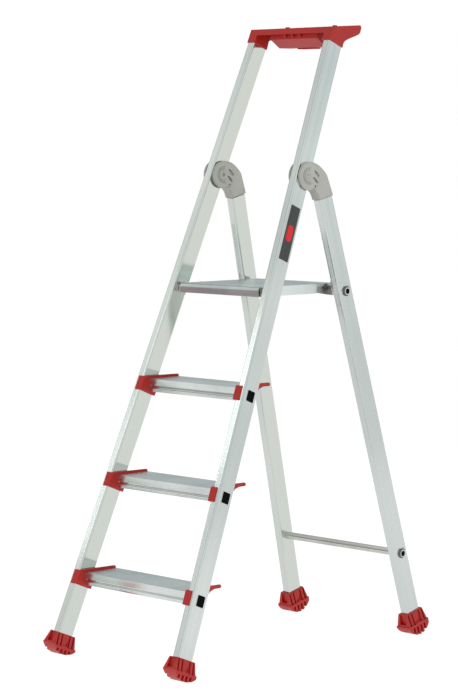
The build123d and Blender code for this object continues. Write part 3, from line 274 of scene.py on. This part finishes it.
def soften(node, width):
    """A copy of a CAD piece with its sharp edges rounded by width, as a mould leaves them."""
    source = frame["nodes"][node]
    mesh = source.data.copy()
    mesh.name = node + "_skin"
    bm = bmesh.new()
    bm.from_mesh(mesh)
    bmesh.ops.remove_doubles(bm, verts=bm.verts, dist=MERGE_WITHIN)
    bmesh.ops.dissolve_limit(bm, angle_limit=math.radians(FLAT_ANGLE), verts=bm.verts, edges=bm.edges)
    for face in bm.faces:
        face.smooth = True
    for edge in bm.edges:
        edge.smooth = edge.calc_face_angle(math.pi) < math.radians(SHARP_ANGLE)
    bm.to_mesh(mesh)
    bm.free()
    piece = bpy.data.objects.new(node + "_skin", mesh)
    bpy.context.scene.collection.objects.link(piece)
    round_off = piece.modifiers.new("round_off", "BEVEL")
    round_off.width = width
    round_off.segments = SEGMENTS
    round_off.limit_method = "ANGLE"
    round_off.angle_limit = math.radians(SHARP_ANGLE)
    round_off.harden_normals = True
    round_off.use_clamp_overlap = True
    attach(piece, node_body[node])
    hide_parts(node)


STEPS, SIDES = ("lower", "middle", "upper"), ("left", "right")
SOFT = {"tool_tray": 0.0012}         # width of the rounding on each piece
SOFT.update({f"tread_cap_{step}_{side}": 0.0007 for step in STEPS for side in SIDES})
SOFT.update({f"foot_{end}_{side}": 0.0009 for end in ("front", "rear") for side in SIDES})
SOFT.update({f"hinge_clevis_{side}": 0.0008 for side in SIDES})
SOFT.update({f"platform_rest_{side}": 0.0008 for side in SIDES})
for node, width in SOFT.items():
    soften(node, width)


# ---------------------------------------------------------------- floor and light
FLOOR_RADIUS, FLOOR_SEGMENTS = 4.0, 64
FLOOR_BASE = (0.05, 0.05, 0.05, 1)
FLOOR_GLOW = 0.9                     # what the ladder sees of it; the camera sees plain white


def add_floor():
    """A white disc that glows enough to hold no shadow."""
    shader = Shader("floor_white")
    seen = shader.node("ShaderNodeLightPath").outputs["Is Camera Ray"]
    shader.set(
        Base_Color=FLOOR_BASE, Roughness=0.9, Emission_Color=(1, 1, 1, 1),
        Emission_Strength=shader.spread(seen, FLOOR_GLOW, 1.0, 0.0, 1.0))
    bm = bmesh.new()
    bmesh.ops.create_circle(bm, cap_ends=True, segments=FLOOR_SEGMENTS, radius=FLOOR_RADIUS)
    mesh = bpy.data.meshes.new("floor")
    bm.to_mesh(mesh)
    bm.free()
    mesh.materials.append(shader.material)
    floor = bpy.data.objects.new("floor", mesh)
    bpy.context.scene.collection.objects.link(floor)


# Studio walls by direction: (direction, cosine where it starts, cosine where it is full, colour).
STUDIO = (0.80, 0.82, 0.82, 1)
WALLS = (
    ((-0.71, 0.70, 0.08), 0.55, 0.93, (0.44, 0.48, 0.50, 1)),
    ((0.72, 0.69, 0.10), 0.70, 0.95, (0.60, 0.67, 0.70, 1)),
    ((0.70, 0.69, 0.22), 0.955, 0.99, (0.82, 0.88, 0.88, 1)),
    ((-0.71, -0.56, 0.43), 0.80, 0.97, (0.64, 0.68, 0.66, 1)),
    ((0.67, -0.58, 0.45), 0.80, 0.97, (0.95, 0.95, 0.95, 1)),
    ((0, 0, -1), -0.03, 0.01, (0.98, 0.98, 0.97, 1)),
    ((-0.71, -0.70, -0.06), 0.94, 0.985, (0.32, 0.24, 0.27, 1)),
)


def add_world():
    """White behind the ladder for the camera; grey and white studio walls for its reflections."""
    world = bpy.data.worlds.new("studio")
    world.use_nodes = True
    bpy.context.scene.world = world
    nodes, links = world.node_tree.nodes, world.node_tree.links
    towards = nodes.new("ShaderNodeTexCoord").outputs["Generated"]
    colour = STUDIO
    for direction, start, full, shade in WALLS:
        facing = nodes.new("ShaderNodeVectorMath")
        facing.operation = "DOT_PRODUCT"
        facing.inputs[1].default_value = Vector(direction).normalized()
        links.new(towards, facing.inputs[0])
        share = nodes.new("ShaderNodeMapRange")
        share.interpolation_type = "SMOOTHSTEP"
        share.inputs["From Min"].default_value = start
        share.inputs["From Max"].default_value = full
        links.new(facing.outputs["Value"], share.inputs["Value"])
        colour = colour_mix(nodes, links, share.outputs[0], colour, shade)
    walls = nodes["Background"]
    links.new(colour, walls.inputs["Color"])
    plain = nodes.new("ShaderNodeBackground")
    plain.inputs["Color"].default_value = (1, 1, 1, 1)
    chosen = nodes.new("ShaderNodeMixShader")
    links.new(nodes.new("ShaderNodeLightPath").outputs["Is Camera Ray"], chosen.inputs[0])
    links.new(walls.outputs[0], chosen.inputs[1])
    links.new(plain.outputs[0], chosen.inputs[2])
    links.new(chosen.outputs[0], nodes["World Output"].inputs["Surface"])


# Weak lamps that reach the stiles only: (name, place, aim, width and height, watts, sides lit).
GLOWS = (
    ("left_stile_upper_glow", (-1.45, -0.99, 1.88), (-0.16, 0.01, 1.11), (0.4, 1.2), 0.6, ("left",)),
    ("left_stile_glow", (-1.27, -1.18, 0.99), (-0.2, -0.3, 0.45), (0.25, 0.5), 0.7, SIDES),
    ("right_stile_glow", (-0.88, -1.05, 1.29), (0.19, -0.22, 0.65), (0.25, 0.5), 0.9, SIDES),
)


def add_glow(name, place, aim, size, power, sides):
    lit = bpy.data.collections.new(name + "_lit")
    for side in sides:
        lit.objects.link(frame["nodes"][f"front_stile_{side}"])
    data = bpy.data.lights.new(name, "AREA")
    data.shape = "RECTANGLE"
    data.size, data.size_y = size
    data.energy = power
    lamp = bpy.data.objects.new(name, data)
    lamp.location = place
    lamp.rotation_mode = "QUATERNION"
    lamp.rotation_quaternion = (Vector(aim) - Vector(place)).to_track_quat("-Z", "Y")
    lamp.visible_camera = False
    lamp.light_linking.receiver_collection = lit
    bpy.context.scene.collection.objects.link(lamp)


add_camera()
add_floor()
add_world()
for glow in GLOWS:
    add_glow(*glow)
bpy.context.scene.view_settings.view_transform = "Standard"
